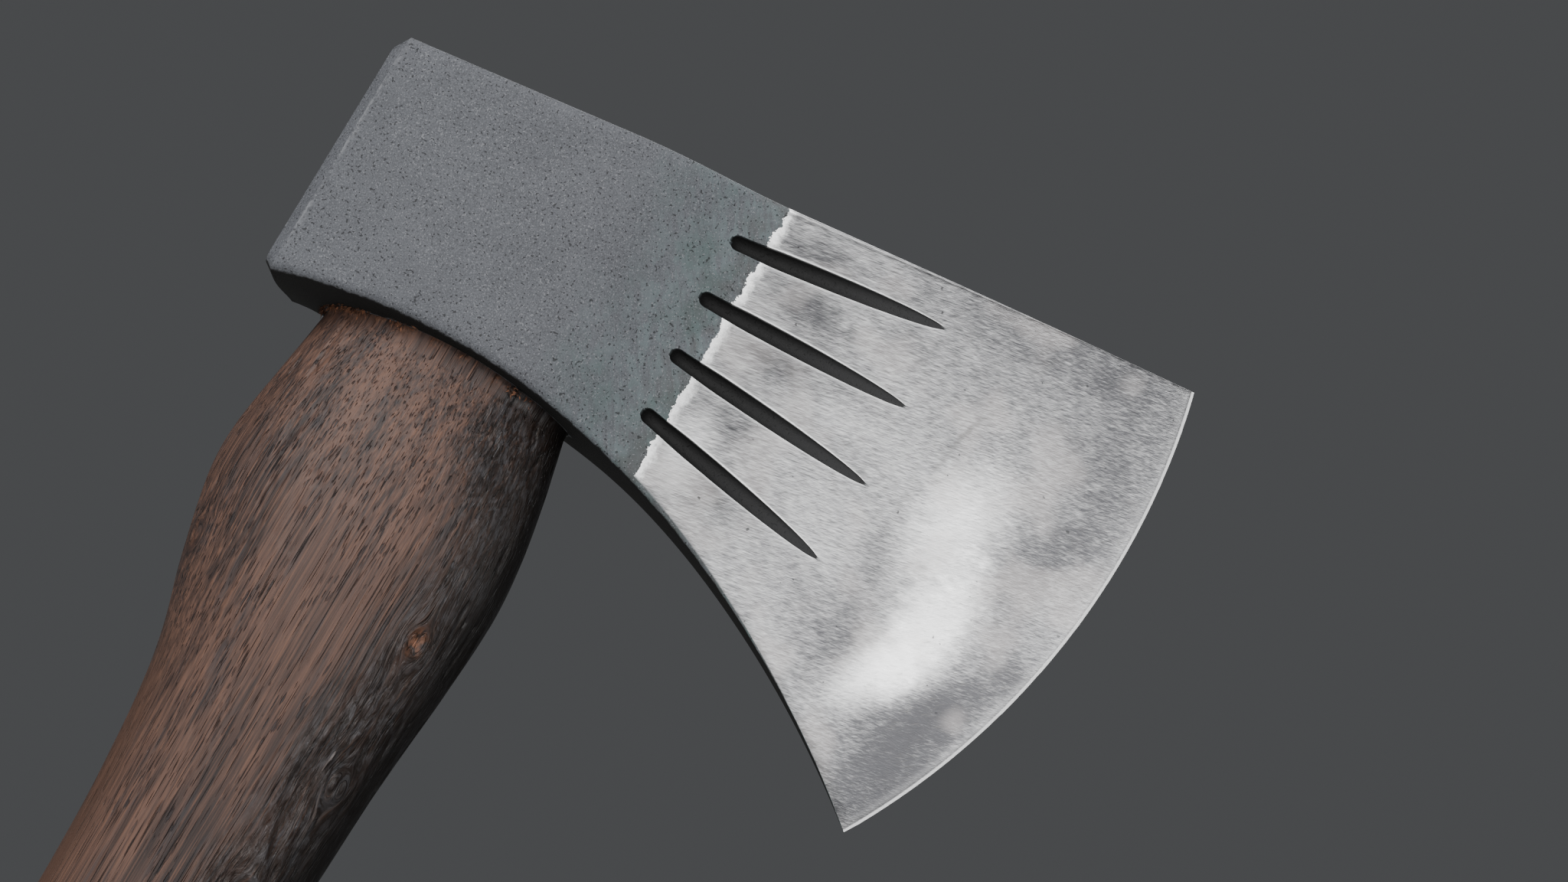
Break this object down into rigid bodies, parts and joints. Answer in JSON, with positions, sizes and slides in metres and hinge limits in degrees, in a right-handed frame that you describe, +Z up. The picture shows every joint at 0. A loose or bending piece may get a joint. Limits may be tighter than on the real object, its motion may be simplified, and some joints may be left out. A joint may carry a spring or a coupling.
{
  "type": "carving hatchet",
  "caption": "Forged carving hatchet: long square-poll head, flared blade with grooved cheeks, steel bit, wedged on a swelled wooden haft.",
  "frame": {"origin": "centre of the grip, on the haft's centre line", "axes": "+X toward the cutting edge, +Z up the haft to the head, Y across the head's thickness with the four-groove cheek facing -Y"},
  "size_m": [0.1322, 0.0276, 0.3699],
  "materials": {
    "forged_iron": "matte blue-grey forge scale, brushed bright on the blade",
    "edge_steel": "fine brushed satin",
    "scorched_wood": "scorched, brushed and oiled, satin",
    "wedge_wood": "sawn end grain, matte",
    "wedge_steel": "dull hammered"
  },
  "bodies": {
    "root": {"head_body": "forged_iron", "cutting_bit": "edge_steel", "haft": "scorched_wood", "kerf_wedge": "wedge_wood", "steel_wedge_front": "wedge_steel", "steel_wedge_rear": "wedge_steel"}
  },
  "joints": []
}
